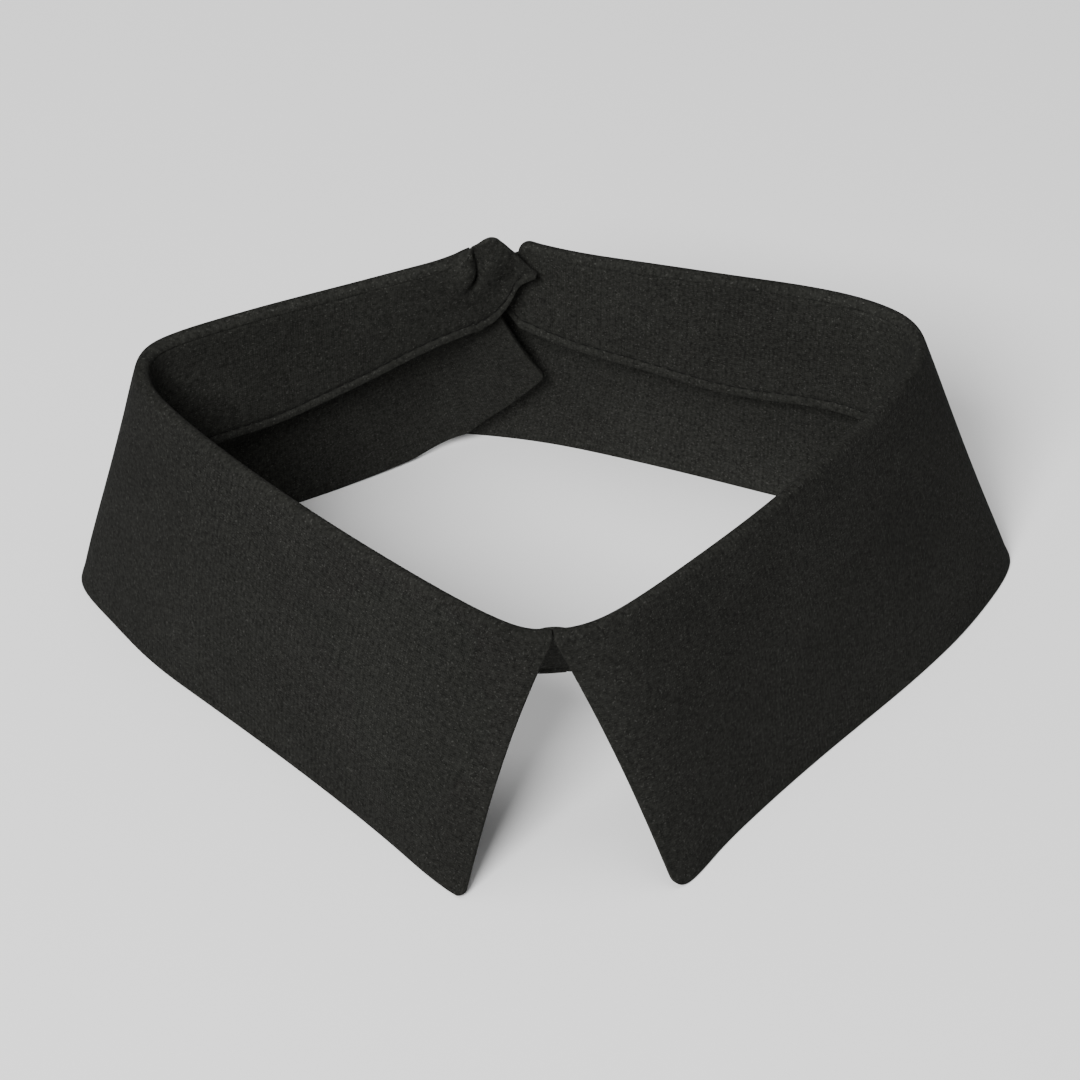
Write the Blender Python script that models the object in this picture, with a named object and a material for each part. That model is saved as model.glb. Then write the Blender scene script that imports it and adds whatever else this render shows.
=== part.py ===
"""Detachable shirt collar, closed at the back and standing on its hem.

A band, the stand, runs round the neck inside. Two leaves turn down over its
top edge, meet at the front in two points, and lap one another at the back,
where a press stud holds the ends of the stand together.

Units: the tables are in millimetres, the model in metres. +Z is up, the
points of the collar face -Y, and the neck is round the Z axis.
"""

import math

import bmesh
import bpy
import numpy as np

MM = 0.001

# Thickness of the sewn cloth, and the roll over which a leaf turns down.
WALL = 1.4
ROLL_RADIUS = 1.0
FLANGE = 0.5
SEAM_GAP = 0.3

# The middle of the footprint, measured in the tables' own plan.
FOOTPRINT_MIDDLE = (1.0, -31.335)

# How the sections are divided up.
STEPS_PER_ROW = 3
ROLL_STEPS = 5
LEAF_STEPS = 8
STAND_STEPS = 5
TAB_STEPS_PER_ROW = 3

# How far a leaf's end edges are cut hollow, at the back and at the front.
LEFT_HOLLOW = (1.0, 1.8)
RIGHT_HOLLOW = (0.0, 1.1)

# One row for each section of a leaf, from its back end to its point.
# fold: middle of the roll. hem: middle of the wall at the lower edge.
# belly: how far the leaf rounds out between them.
# stand: height of the stand below the seam. lean: how far its foot comes in.
LEAF_COLUMNS = ("fold_x", "fold_y", "fold_z", "hem_x", "hem_y", "hem_z", "belly", "stand", "lean")
LEFT_LEAF = (
    (-13.0, 17.9, 63.2, 2.5, 23.0, 26.2, 0.0, 18.5, 0.0),
    (-19.3, 16.3, 61.9, -5.8, 27.4, 14.4, 0.0, 18.7, 0.0),
    (-25.0, 15.0, 61.4, -14.0, 31.0, 4.2, 0.2, 20.1, 0.0),
    (-33.0, 13.0, 60.7, -26.5, 26.8, 0.9, 0.4, 22.6, 0.0),
    (-44.0, 9.5, 60.4, -43.5, 18.8, 0.0, 0.6, 25.6, 0.0),
    (-55.5, 5.4, 60.4, -58.0, 12.7, 0.0, 0.6, 27.9, 0.3),
    (-65.9, 1.3, 60.4, -72.0, 8.0, 0.0, 0.5, 27.8, 0.8),
    (-73.6, -2.3, 60.4, -84.5, 3.7, 0.0, 0.3, 27.8, 1.2),
    (-77.9, -5.8, 60.4, -92.8, 0.0, 0.0, 0.2, 27.8, 1.6),
    (-79.5, -10.2, 60.3, -96.2, -4.9, 0.0, 0.1, 27.8, 2.0),
    (-79.2, -14.6, 60.2, -95.3, -10.3, 0.0, 0.2, 27.8, 2.4),
    (-77.2, -19.4, 60.1, -90.8, -17.7, 0.0, 0.5, 27.6, 3.0),
    (-72.3, -26.7, 60.0, -82.9, -29.4, 0.0, 0.6, 27.2, 3.8),
    (-65.0, -35.8, 59.9, -72.9, -40.9, 0.0, 0.8, 26.6, 4.8),
    (-49.4, -53.0, 59.7, -57.0, -57.8, 0.0, 1.0, 25.4, 6.6),
    (-31.2, -70.8, 59.4, -40.4, -76.5, 0.0, 1.0, 23.6, 8.6),
    (-20.4, -80.0, 58.8, -31.6, -87.3, 0.0, 0.8, 22.2, 9.8),
    (-13.1, -84.9, 58.0, -26.7, -93.5, 0.0, 0.6, 20.8, 10.4),
    (-8.0, -86.9, 57.3, -23.2, -97.4, 0.0, 0.4, 20.3, 10.8),
    (-3.15, -87.2, 56.8, -20.6, -100.1, 0.4, 0.2, 20.1, 11.0),
)
RIGHT_LEAF = (
    (-1.2, 23.1, 60.7, -22.0, 37.2, 0.0, 0.2, 20.3, 0.0),
    (7.4, 19.6, 60.5, -3.2, 33.5, 0.0, 0.3, 22.4, 0.0),
    (21.1, 15.5, 60.3, 16.4, 26.9, 0.0, 0.5, 24.8, 0.0),
    (41.7, 9.1, 60.5, 41.0, 16.3, 0.0, 0.6, 28.0, 0.3),
    (59.9, 3.2, 60.5, 64.2, 6.2, 0.0, 0.4, 27.2, 0.8),
    (68.6, -1.5, 60.5, 79.8, 0.3, 0.0, 0.2, 27.0, 1.2),
    (73.2, -6.1, 60.5, 91.6, -4.6, 0.0, 0.0, 27.0, 1.6),
    (74.9, -11.2, 60.4, 98.0, -9.8, 0.0, -0.1, 27.0, 2.0),
    (74.6, -15.4, 60.2, 97.1, -15.9, 0.0, 0.0, 27.0, 2.4),
    (72.7, -19.8, 60.1, 91.9, -24.4, 0.0, 0.2, 27.0, 3.0),
    (65.8, -30.1, 60.0, 80.0, -39.1, 0.0, 0.6, 26.6, 4.2),
    (54.1, -43.7, 59.8, 66.6, -52.5, 0.0, 1.0, 26.0, 5.6),
    (41.3, -57.2, 59.5, 51.9, -66.4, 0.0, 1.0, 25.0, 7.4),
    (23.1, -73.3, 58.5, 35.1, -83.5, 0.0, 1.0, 23.8, 9.4),
    (12.8, -81.3, 57.7, 28.6, -91.0, 0.0, 0.8, 21.9, 10.2),
    (4.7, -86.0, 57.3, 24.3, -96.4, 0.0, 0.6, 20.8, 10.8),
    (0.8, -86.9, 57.0, 22.2, -98.4, 0.0, 0.4, 20.3, 10.9),
    (-2.45, -87.2, 56.8, 19.9, -99.7, 0.9, 0.2, 20.1, 11.0),
)

# The stand's ends beyond the leaves, out to the tip of each.
# Each row: the place in plan, x and y, then the heights of the top and the foot.
LEFT_TAB = (
    (-12.3, 17.0, 62.4, 44.1),
    (-12.0, 17.1, 64.9, 44.1),
    (-11.3, 17.4, 66.2, 44.4),
    (-10.6, 17.7, 66.8, 44.6),
    (-9.7, 18.0, 67.1, 45.0),
    (-8.8, 18.3, 67.1, 45.5),
    (-7.9, 18.6, 66.7, 46.2),
    (-6.9, 18.8, 66.0, 47.2),
    (-5.3, 18.9, 63.9, 49.6),
    (-4.0, 18.9, 62.2, 52.2),
    (-2.8, 18.8, 61.2, 54.9),
    (-1.2, 18.6, 60.2, 57.0),
    (0.4, 18.3, 59.2, 58.0),
)
RIGHT_TAB = (
    (-3.8, 22.85, 59.6, 41.6),
    (-5.8, 23.05, 59.3, 44.6),
    (-8.0, 23.1, 58.5, 48.0),
    (-9.8, 23.1, 57.0, 50.4),
    (-10.8, 23.1, 55.2, 52.6),
)

# Press stud between the two ends of the stand.
STUD_CENTRE = (-6.9, 56.2)
STUD_SEAT_Y = 19.9
STUD_RADIUS = 2.7
STUD_BASE = 0.65
STUD_NUB_RADIUS = 1.1
STUD_NUB = 0.8
SOCKET_SEAT_Y = 21.75
SOCKET_RADIUS = 2.8
SOCKET_BORE = 1.45
SOCKET_THICKNESS = 0.9
STUD_SIDES = 24

CLOTH_COLOUR = (0.020, 0.021, 0.018, 1.0)
CLOTH_ROUGHNESS = 0.92
STUD_COLOUR = (0.012, 0.012, 0.012, 1.0)
STUD_ROUGHNESS = 0.35
STUD_METALLIC = 0.6
SHARP_ANGLE = math.radians(40.0)

UP = np.array((0.0, 0.0, 1.0))


def clear_objects():
    """Removes whatever the scene holds."""
    for item in list(bpy.data.objects):
        bpy.data.objects.remove(item, do_unlink=True)


def make_material(name, colour, roughness, metallic=0.0):
    """A plain finish of one colour."""
    material = bpy.data.materials.new(name)
    material.use_nodes = True
    shader = material.node_tree.nodes["Principled BSDF"]
    shader.inputs["Base Color"].default_value = colour
    shader.inputs["Roughness"].default_value = roughness
    shader.inputs["Metallic"].default_value = metallic
    return material


def unit(vectors):
    """Each vector at length one."""
    return vectors / np.linalg.norm(vectors, axis=-1, keepdims=True)


def spline(knots, values, at):
    """A natural cubic spline through the values, read at the places asked for."""
    knots = np.asarray(knots, float)
    values = np.asarray(values, float)
    count = len(knots)
    step = np.diff(knots)
    slope = np.diff(values, axis=0) / step[:, None]
    matrix = np.eye(count)
    right = np.zeros_like(values)
    for row in range(1, count - 1):
        matrix[row, row - 1] = step[row - 1]
        matrix[row, row] = 2.0 * (step[row - 1] + step[row])
        matrix[row, row + 1] = step[row]
        right[row] = 6.0 * (slope[row] - slope[row - 1])
    bend = np.linalg.solve(matrix, right)
    at = np.clip(at, knots[0], knots[-1])
    span = np.clip(np.searchsorted(knots, at, side="right") - 1, 0, count - 2)
    width = step[span][..., None]
    after = (at - knots[span])[..., None] / width
    before = 1.0 - after
    cubic_before = (before ** 3 - before) * bend[span]
    cubic_after = (after ** 3 - after) * bend[span + 1]
    straight = before * values[span] + after * values[span + 1]
    return straight + (cubic_before + cubic_after) * width ** 2 / 6.0


def lengths_along(points):
    """The length of a line of points up to each of them."""
    steps = np.linalg.norm(np.diff(points, axis=0), axis=1)
    return np.concatenate(((0.0,), np.cumsum(steps)))


def stations(knots, steps):
    """Places between the rows of a table, the same number in each span."""
    parts = [np.linspace(a, b, steps, endpoint=False) for a, b in zip(knots[:-1], knots[1:])]
    return np.concatenate(parts + [knots[-1:]])


def outward_normals(line, back_to_front_turn):
    """Level normals of a line in plan, on the side away from the neck."""
    tangent = unit(np.gradient(line, axis=0) * (1.0, 1.0, 0.0))
    side = np.cross(tangent, UP) * back_to_front_turn
    return unit(side)


def read_table(rows, knots, at):
    """A leaf's table between its rows: the lift of the hem straight, the rest curved."""
    dense = spline(knots, rows, at)
    lift = LEAF_COLUMNS.index("hem_z")
    dense[:, lift] = np.interp(at, knots, rows[:, lift])
    return dense


def leaf_surface(table, turn, hollow):
    """The middle of a leaf's wall and its normals, section by section.

    turn is +1 where the neck lies to the left of someone who walks from the
    back end to the point, and -1 on the other side.
    """
    rows = np.asarray(table, float)
    knots = lengths_along(rows[:, 0:3])
    at = stations(knots, STEPS_PER_ROW)
    dense = read_table(rows, knots, at)
    fold = dense[:, 0:3]
    out = outward_normals(fold, turn)
    slant = dense[:, 3:6] - fold
    aside = np.sum(slant * out, axis=1)
    down = -slant[:, 2]
    exit_angle = np.arctan2(aside, down)

    middle = [fold - out * ROLL_RADIUS - UP * FLANGE]
    normal = [-out]
    for step in range(ROLL_STEPS + 1):
        share = step / ROLL_STEPS
        angle = (math.pi + (exit_angle - math.pi) * share)[:, None]
        ray = np.cos(angle) * out + np.sin(angle) * UP
        middle.append(fold + ray * ROLL_RADIUS)
        normal.append(ray)
    for step in range(1, LEAF_STEPS + 1):
        share = step / LEAF_STEPS
        swell = 4.0 * share * (1.0 - share)
        back, front = hollow[0] * swell, hollow[1] * swell
        cut = back + at * (1.0 - (back + front) / knots[-1])
        section = read_table(rows, knots, cut)
        point = section[:, 0:3]
        side = outward_normals(point, turn)
        lean = section[:, 3:6] - point
        angle = np.arctan2(np.sum(lean * side, axis=1), -lean[:, 2])[:, None]
        ray = np.cos(angle) * side + np.sin(angle) * UP
        start = point + ray * ROLL_RADIUS
        belly = section[:, 6:7] * swell
        middle.append(start + (section[:, 3:6] - start) * share + ray * belly)
        normal.append(None)
    middle = np.stack(middle, axis=1)

    along = np.gradient(middle, axis=0)
    downward = np.gradient(middle, axis=1)
    crossed = unit(np.cross(along, downward))
    crossed *= np.sign(np.sum(crossed * out[:, None, :], axis=-1, keepdims=True))
    for column, known in enumerate(normal):
        if known is not None:
            crossed[:, column] = known
    return middle, crossed, dense


def level_edge(grid, middle, edge, beside):
    """Slides an edge of a wall along its own slope, to lie as high as the middle's."""
    direction = unit(middle[:, edge] - middle[:, beside])
    drop = (middle[:, edge, 2] - grid[:, edge, 2]) / direction[:, 2]
    grid[:, edge] += direction * drop[:, None]


def wall_mesh(name, outer, inner, material):
    """A closed wall between two grids of points of the same size."""
    columns = outer.shape[1]
    rows = outer.shape[0]
    shape = bmesh.new()
    place = np.array((FOOTPRINT_MIDDLE[0], FOOTPRINT_MIDDLE[1], 0.0))
    sheets = []
    for grid in (outer, inner):
        sheets.append([[shape.verts.new((point - place) * MM) for point in row] for row in grid])
    face, back = sheets
    for i in range(rows - 1):
        for j in range(columns - 1):
            shape.faces.new((face[i][j], face[i + 1][j], face[i + 1][j + 1], face[i][j + 1]))
            shape.faces.new((back[i][j], back[i][j + 1], back[i + 1][j + 1], back[i + 1][j]))
        for j in (0, columns - 1):
            shape.faces.new((face[i][j], back[i][j], back[i + 1][j], face[i + 1][j]))
    for j in range(columns - 1):
        for i in (0, rows - 1):
            shape.faces.new((face[i][j], face[i][j + 1], back[i][j + 1], back[i][j]))
    bmesh.ops.recalc_face_normals(shape, faces=shape.faces)
    return finish_mesh(name, shape, material)


def finish_mesh(name, shape, material):
    """Turns a worked shape into a named object with its finish."""
    mesh = bpy.data.meshes.new(name)
    shape.to_mesh(mesh)
    shape.free()
    mesh.materials.append(material)
    mesh.shade_smooth()
    mesh.set_sharp_from_angle(angle=SHARP_ANGLE)
    item = bpy.data.objects.new(name, mesh)
    bpy.context.scene.collection.objects.link(item)
    return item


def make_leaf(name, table, turn, hollow, material):
    """One turned-down leaf: a short flange, the roll, and the fall to its hem."""
    middle, normal, dense = leaf_surface(table, turn, hollow)
    half = WALL / 2.0
    faces = (middle + normal * half, middle - normal * half)
    for grid in faces:
        level_edge(grid, middle, -1, -2)
    wall_mesh(name, faces[0], faces[1], material)
    return dense


def stand_sections(left, right):
    """Top and foot of the stand's wall under the two rolls, from left to right."""
    centre = (left[-1:] + right[-1:]) / 2.0
    dense = np.concatenate((left[:-1], centre, right[-2::-1]))
    fold = dense[:, 0:3]
    out = outward_normals(fold, 1.0)
    top = fold - out * ROLL_RADIUS - UP * (FLANGE + SEAM_GAP)
    foot = top - UP * dense[:, 7:8] - out * dense[:, 8:9]
    return top, foot


def tab_sections(table, top, foot):
    """Top and foot of a stand's end, carried on smoothly from the sections next to it."""
    rows = np.asarray(table, float)
    tops = np.concatenate((top, rows[:, (0, 1, 2)]))
    feet = np.concatenate((foot, rows[:, (0, 1, 3)]))
    knots = lengths_along(tops[:, 0:2])
    at = stations(knots[1:], TAB_STEPS_PER_ROW)[1:]
    both = spline(knots, np.concatenate((tops, feet), axis=1), at)
    both[:, 2] = np.interp(at, knots, tops[:, 2])
    return both[:, 0:3], both[:, 3:6]


def make_stand(left, right, material):
    """The band, in one piece from end to end round the front of the neck."""
    top, foot = stand_sections(left, right)
    left_end = tab_sections(LEFT_TAB, top[1::-1], foot[1::-1])
    right_end = tab_sections(RIGHT_TAB, top[-2:], foot[-2:])
    top = np.concatenate((left_end[0][::-1], top, right_end[0]))
    foot = np.concatenate((left_end[1][::-1], foot, right_end[1]))
    shares = np.linspace(0.0, 1.0, STAND_STEPS)
    middle = top[:, None, :] + (foot - top)[:, None, :] * shares[None, :, None]
    along = np.gradient(middle, axis=0)
    downward = np.gradient(middle, axis=1)
    normal = unit(np.cross(downward, along))
    half = WALL / 2.0
    faces = (middle + normal * half, middle - normal * half)
    for grid in faces:
        level_edge(grid, middle, 0, 1)
        level_edge(grid, middle, -1, -2)
    wall_mesh("stand", faces[0], faces[1], material)


def ring(shape, radius, depth, centre):
    """A ring of points round the press stud's axis, which runs along Y."""
    points = []
    for side in range(STUD_SIDES):
        angle = 2.0 * math.pi * side / STUD_SIDES
        x = centre[0] + radius * math.cos(angle)
        z = centre[1] + radius * math.sin(angle)
        place = (x - FOOTPRINT_MIDDLE[0], depth - FOOTPRINT_MIDDLE[1], z)
        points.append(shape.verts.new([value * MM for value in place]))
    return points


def turned(name, profile, material, closed):
    """A round piece, turned from pairs of radius and depth."""
    shape = bmesh.new()
    rings = [ring(shape, radius, depth, STUD_CENTRE) for radius, depth in profile]
    pairs = list(zip(rings[:-1], rings[1:]))
    if closed:
        pairs.append((rings[-1], rings[0]))
    for first, second in pairs:
        for side in range(STUD_SIDES):
            after = (side + 1) % STUD_SIDES
            shape.faces.new((first[side], first[after], second[after], second[side]))
    if not closed:
        shape.faces.new(rings[0])
        shape.faces.new(rings[-1])
    bmesh.ops.recalc_face_normals(shape, faces=shape.faces)
    return finish_mesh(name, shape, material)


def make_press_stud(material):
    """The stud on the left end and the socket on the right end."""
    base = STUD_SEAT_Y + STUD_BASE
    stud = (
        (STUD_RADIUS, STUD_SEAT_Y),
        (STUD_RADIUS, base),
        (STUD_NUB_RADIUS, base),
        (STUD_NUB_RADIUS, base + STUD_NUB),
    )
    turned("snap_stud", stud, material, closed=False)
    near = SOCKET_SEAT_Y - SOCKET_THICKNESS
    socket = (
        (SOCKET_RADIUS, near),
        (SOCKET_RADIUS, SOCKET_SEAT_Y),
        (SOCKET_BORE, SOCKET_SEAT_Y),
        (SOCKET_BORE, near),
    )
    turned("snap_socket", socket, material, closed=True)


def main():
    clear_objects()
    cloth = make_material("charcoal_crepe", CLOTH_COLOUR, CLOTH_ROUGHNESS)
    stud = make_material("dark_press_stud", STUD_COLOUR, STUD_ROUGHNESS, STUD_METALLIC)
    left = make_leaf("leaf_left", LEFT_LEAF, 1.0, LEFT_HOLLOW, cloth)
    right = make_leaf("leaf_right", RIGHT_LEAF, -1.0, RIGHT_HOLLOW, cloth)
    make_stand(left, right, cloth)
    make_press_stud(stud)


main()
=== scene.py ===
"""Dresses the detachable shirt collar: two turned-down leaves, the band inside, and its sewing.

The collar stands on its hem with its two points towards -Y. The tables are in millimetres and
give the same form as the solids.
"""

import math

import bpy
import numpy as np
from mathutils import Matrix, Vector


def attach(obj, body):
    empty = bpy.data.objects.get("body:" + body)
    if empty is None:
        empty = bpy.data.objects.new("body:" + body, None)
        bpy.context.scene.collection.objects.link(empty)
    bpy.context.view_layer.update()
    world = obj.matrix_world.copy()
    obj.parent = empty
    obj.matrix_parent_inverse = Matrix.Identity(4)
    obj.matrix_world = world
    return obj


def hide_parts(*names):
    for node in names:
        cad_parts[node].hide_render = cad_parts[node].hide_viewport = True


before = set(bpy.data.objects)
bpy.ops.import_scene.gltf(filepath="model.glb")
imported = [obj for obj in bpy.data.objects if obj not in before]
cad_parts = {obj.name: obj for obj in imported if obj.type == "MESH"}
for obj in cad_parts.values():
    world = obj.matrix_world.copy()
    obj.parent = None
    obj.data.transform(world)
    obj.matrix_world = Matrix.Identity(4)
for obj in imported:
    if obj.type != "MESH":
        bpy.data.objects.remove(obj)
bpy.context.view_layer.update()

MM = 0.001
UP = np.array((0.0, 0.0, 1.0))

# Cloth and roll
WALL = 1.4
ROLL_RADIUS = 1.0
FLANGE = 0.5
SEAM_OVERLAP = 0.6
FOOTPRINT_MIDDLE = np.array((1.0, -31.335, 0.0))

# Fineness of the cloth's surface
LEAF_STEPS_PER_ROW = 8
ROLL_STEPS = 8
FALL_SPACING = 1.7
STAND_ROWS = 20
TAB_STEPS_PER_ROW = 3

# The stand's top shows a little between the two rolls at the front, and rises towards its left end
FRONT_RISE = 1.3
FRONT_RISE_WIDTH = 3.0
END_RISE = 2.2
END_RISE_WIDTH = 1.8

# More sections close to a leaf's back end, and more rows close to its hem and to the stand's foot
END_STATIONS = (0.12, 0.35, 0.7, 1.1, 1.6, 2.2)
HEM_ROWS = (2.4, 1.5, 1.0, 0.6, 0.3)
FOOT_ROWS = (0.0, 0.35, 0.9, 1.4, 1.75, 2.0, 2.2, 2.4, 2.7, 3.2)

# Turned edges: the seam allowance inside makes them a little thicker
EDGE_BAND = 1.6
EDGE_FADE = 3.2
PLAIN_THICKNESS = 0.80
FLANGE_THICKNESS = 0.85
FLANGE_COLUMNS = 2

# The rubbed band along an edge, and how fast it fades
WEAR_BAND = 1.4
WEAR_FADE = 1.5

# How far the roll is rounded off at a leaf's back end, on the left and on the right
LEFT_END_ROUND = 0.0
RIGHT_END_ROUND = 2.0
DROP_FADE = 8.0

# The points of the leaves are rounded off where they are turned
POINT_RADIUS = 2.2
CORNER_RADIUS = 1.3
CORNER_REACH = 3.0

# The side of its table that a leaf's outside is on
LEFT_TURN = 1.0
RIGHT_TURN = -1.0

# The slight unevenness of pressed cloth: its waves' heights, lengths and phases
SWELL_HEIGHTS = (0.14, 0.12, 0.03)
SLOW_LENGTHS = (13.0, 17.0)
SLANT = 1.6
SLANT_LENGTH = 21.0
SMALL_LENGTHS = (5.3, 7.9)
SWELL_PHASES = (1.3, 2.1, 0.7)
LEFT_PHASE = 0.0
RIGHT_PHASE = 2.2
STAND_PHASE = 0.4

# It fades out near a leaf's fold, hem and ends, and near the stand's foot
CALM_STEEPNESS = 5.0
CALM_END = 25.0
CALM_FOOT = 8.0

# How far the hem's ends draw in between fold and hem, at the back and at the front
LEFT_HOLLOW = (1.0, 1.8)
RIGHT_HOLLOW = (0.0, 1.1)

# The columns of a leaf's table
FOLD = slice(0, 3)
HEM = slice(3, 6)
HEM_LIFT = 5
BELLY = slice(6, 7)
STAND_HEIGHT = slice(7, 8)
FOOT_LEAN = slice(8, 9)

# Fold x, y, z, hem x, y, z, belly, height of the stand, lean of its foot
LEFT_LEAF = (
    (-13.0, 17.9, 63.6, 2.5, 23.0, 26.2, 0.0, 18.9, 0.0),
    (-19.3, 16.3, 62.1, -5.8, 27.4, 14.4, 0.0, 18.9, 0.0),
    (-25.0, 15.0, 61.4, -14.0, 31.0, 4.2, 0.2, 20.1, 0.0),
    (-33.0, 13.0, 60.7, -26.5, 26.8, 0.9, 0.4, 22.6, 0.0),
    (-44.0, 9.5, 60.4, -43.5, 18.8, 0.0, 0.6, 25.6, 0.0),
    (-55.5, 5.4, 60.4, -58.0, 12.7, 0.0, 0.6, 27.9, 0.3),
    (-65.9, 1.3, 60.4, -72.0, 8.0, 0.0, 0.5, 27.8, 0.8),
    (-73.6, -2.3, 60.4, -84.5, 3.7, 0.0, 0.3, 27.8, 1.2),
    (-77.9, -5.8, 60.4, -92.8, 0.0, 0.0, 0.2, 27.8, 1.6),
    (-79.5, -10.2, 60.3, -96.2, -4.9, 0.0, 0.1, 27.8, 2.0),
    (-79.2, -14.6, 60.2, -95.3, -10.3, 0.0, 0.2, 27.8, 2.4),
    (-77.2, -19.4, 60.1, -90.8, -17.7, 0.0, 0.5, 27.6, 3.0),
    (-72.3, -26.7, 60.0, -82.9, -29.4, 0.0, 0.6, 27.2, 3.8),
    (-65.0, -35.8, 59.9, -72.9, -40.9, 0.0, 0.8, 26.6, 4.8),
    (-49.4, -53.0, 59.7, -57.0, -57.8, 0.0, 1.0, 25.4, 6.6),
    (-31.2, -70.8, 59.4, -40.4, -76.5, 0.0, 1.0, 23.6, 8.6),
    (-20.4, -80.0, 58.8, -31.6, -87.3, 0.0, 0.8, 22.2, 9.8),
    (-13.1, -84.9, 58.0, -26.7, -93.5, 0.0, 0.6, 20.8, 10.4),
    (-8.0, -86.9, 57.3, -23.2, -97.4, 0.0, 0.4, 20.3, 10.8),
    (-2.85, -87.2, 56.8, -20.6, -100.1, 0.4, 0.2, 20.1, 11.0),
)
RIGHT_LEAF = (
    (-2.3, 23.5, 60.8, -22.0, 37.2, 0.0, 0.2, 20.1, 0.0),
    (7.4, 19.6, 60.5, -3.2, 33.5, 0.0, 0.3, 22.4, 0.0),
    (21.1, 15.5, 60.3, 16.4, 26.9, 0.0, 0.5, 24.8, 0.0),
    (41.7, 9.1, 60.5, 41.0, 16.3, 0.0, 0.6, 28.0, 0.3),
    (59.9, 3.2, 60.5, 64.2, 6.2, 0.0, 0.4, 27.2, 0.8),
    (68.6, -1.5, 60.5, 79.8, 0.3, 0.0, 0.2, 27.0, 1.2),
    (73.2, -6.1, 60.5, 91.6, -4.6, 0.0, 0.0, 27.0, 1.6),
    (74.9, -11.2, 60.4, 98.0, -9.8, 0.0, -0.1, 27.0, 2.0),
    (74.6, -15.4, 60.2, 97.1, -15.9, 0.0, 0.0, 27.0, 2.4),
    (72.7, -19.8, 60.1, 91.9, -24.4, 0.0, 0.2, 27.0, 3.0),
    (65.8, -30.1, 60.0, 80.0, -39.1, 0.0, 0.6, 26.6, 4.2),
    (54.1, -43.7, 59.8, 66.6, -52.5, 0.0, 1.0, 26.0, 5.6),
    (41.3, -57.2, 59.5, 51.9, -66.4, 0.0, 1.0, 25.0, 7.4),
    (23.1, -73.3, 58.5, 35.1, -83.5, 0.0, 1.0, 23.8, 9.4),
    (12.8, -81.3, 57.7, 28.6, -91.0, 0.0, 0.8, 21.9, 10.2),
    (4.7, -86.0, 57.3, 24.3, -96.4, 0.0, 0.6, 20.8, 10.8),
    (0.8, -86.9, 57.0, 22.2, -98.4, 0.0, 0.4, 20.3, 10.9),
    (-2.75, -87.2, 56.8, 19.9, -99.7, 0.9, 0.2, 20.1, 11.0),
)

# The stand's ends: x, y, height of the top, height of the foot
TAB_TOP = (0, 1, 2)
TAB_FOOT = (0, 1, 3)
TAB_EASING = 2
LEFT_TAB = (
    (-12.7, 16.945, 66.0, 44.1),
    (-12.0, 17.15, 66.5, 44.1),
    (-11.3, 17.4, 67.0, 44.4),
    (-10.6, 17.7, 67.4, 44.6),
    (-9.7, 18.0, 67.8, 45.0),
    (-8.8, 18.3, 67.8, 45.5),
    (-7.9, 18.6, 67.4, 46.2),
    (-6.9, 18.8, 66.6, 47.2),
    (-5.3, 18.9, 64.4, 49.6),
    (-4.0, 18.9, 62.5, 52.2),
    (-2.8, 18.8, 60.9, 54.5),
    (-1.2, 18.6, 59.2, 55.8),
    (0.5, 18.3, 57.5, 57.0),
)
RIGHT_TAB = (
    (-3.8, 22.85, 59.6, 41.6),
    (-5.8, 23.05, 59.3, 44.6),
    (-8.0, 23.1, 58.5, 48.0),
    (-9.8, 23.1, 57.0, 50.4),
    (-10.8, 23.1, 55.2, 52.6),
)

# The stand's foot: a stitched ridge, and the groove of its stitches above it
FOOT_RIDGE = 1.6
STITCH_HEIGHT = 2.2
GROOVE_WIDTH = 0.45
RIDGE_THICKNESS = 0.98
GROOVE_THICKNESS = 0.42
STITCH_LENGTH = 1.9
STITCH_PITCH = 2.6
STITCH_AHEAD = 0.5
THREAD_RADIUS = 0.14
THREAD_SEGMENTS = 8
THREAD_RINGS = 6

# A place inside the neck, which tells the cloth's two sides apart
NECK_MIDDLE = np.array((0.0, -30.0, 50.0))

# The crease where the left end turns out of the roll, and the swellings on both sides of it
CREASE_LINE = (
    (-12.4, 17.1, 65.4),
    (-11.6, 17.3, 62.0),
    (-11.5, 17.4, 59.4),
    (-12.3, 17.1, 57.4),
    (-13.8, 16.8, 56.0),
)
CREASE_DEPTHS = (0.8, 1.8, 2.7, 3.2, 0.6)
CREASE_WIDTH = 1.05
CREASE_PINCH = 0.65
TIP_CREASE_LINE = ((-4.6, 18.9, 62.6), (-4.2, 18.9, 58.5), (-4.4, 18.9, 53.5))
TIP_CREASE_DEPTHS = (0.3, 0.55, 0.4)

# Centre, radii and height of each swelling
STAND_SWELLS = (
    ((-14.6, 16.6, 58.5), (2.6, 6.0, 3.6), 1.2),
    ((-8.6, 18.2, 60.5), (2.8, 6.0, 4.5), 1.3),
    ((-30.0, 13.0, 50.0), (9.0, 8.0, 6.0), 0.5),
    ((-50.0, 6.0, 46.0), (10.0, 8.0, 7.0), -0.4),
    ((28.0, 12.0, 48.0), (12.0, 8.0, 6.0), 0.5),
)

# Painted light: the stand and the under sides of the leaves are made a little lighter than the leaves'
# faces, standing in for the light that reaches the inside of the collar
STAND_PAINTED_LIGHT = 1.5
LINING_PAINTED_LIGHT = 1.45

# The stand's flat width without seam allowance, in metres
STAND_CHART_WIDTH = 0.028

# The cloth's finish: how fine its grain, painted glints, clouds and threads are, and how deep its
# relief
GRAIN_SCALE = 1250.0
PAINTED_GLINT_SCALE = 2300.0
CLOUD_SCALE = 38.0
WARP_SCALE = 760.0
WEFT_SCALE = 800.0
THREAD_WANDER = 3.5
WEAVE_SHARE = 0.16
RELIEF_STRENGTH = 0.75
RELIEF_HEIGHT = 0.00022

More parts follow.
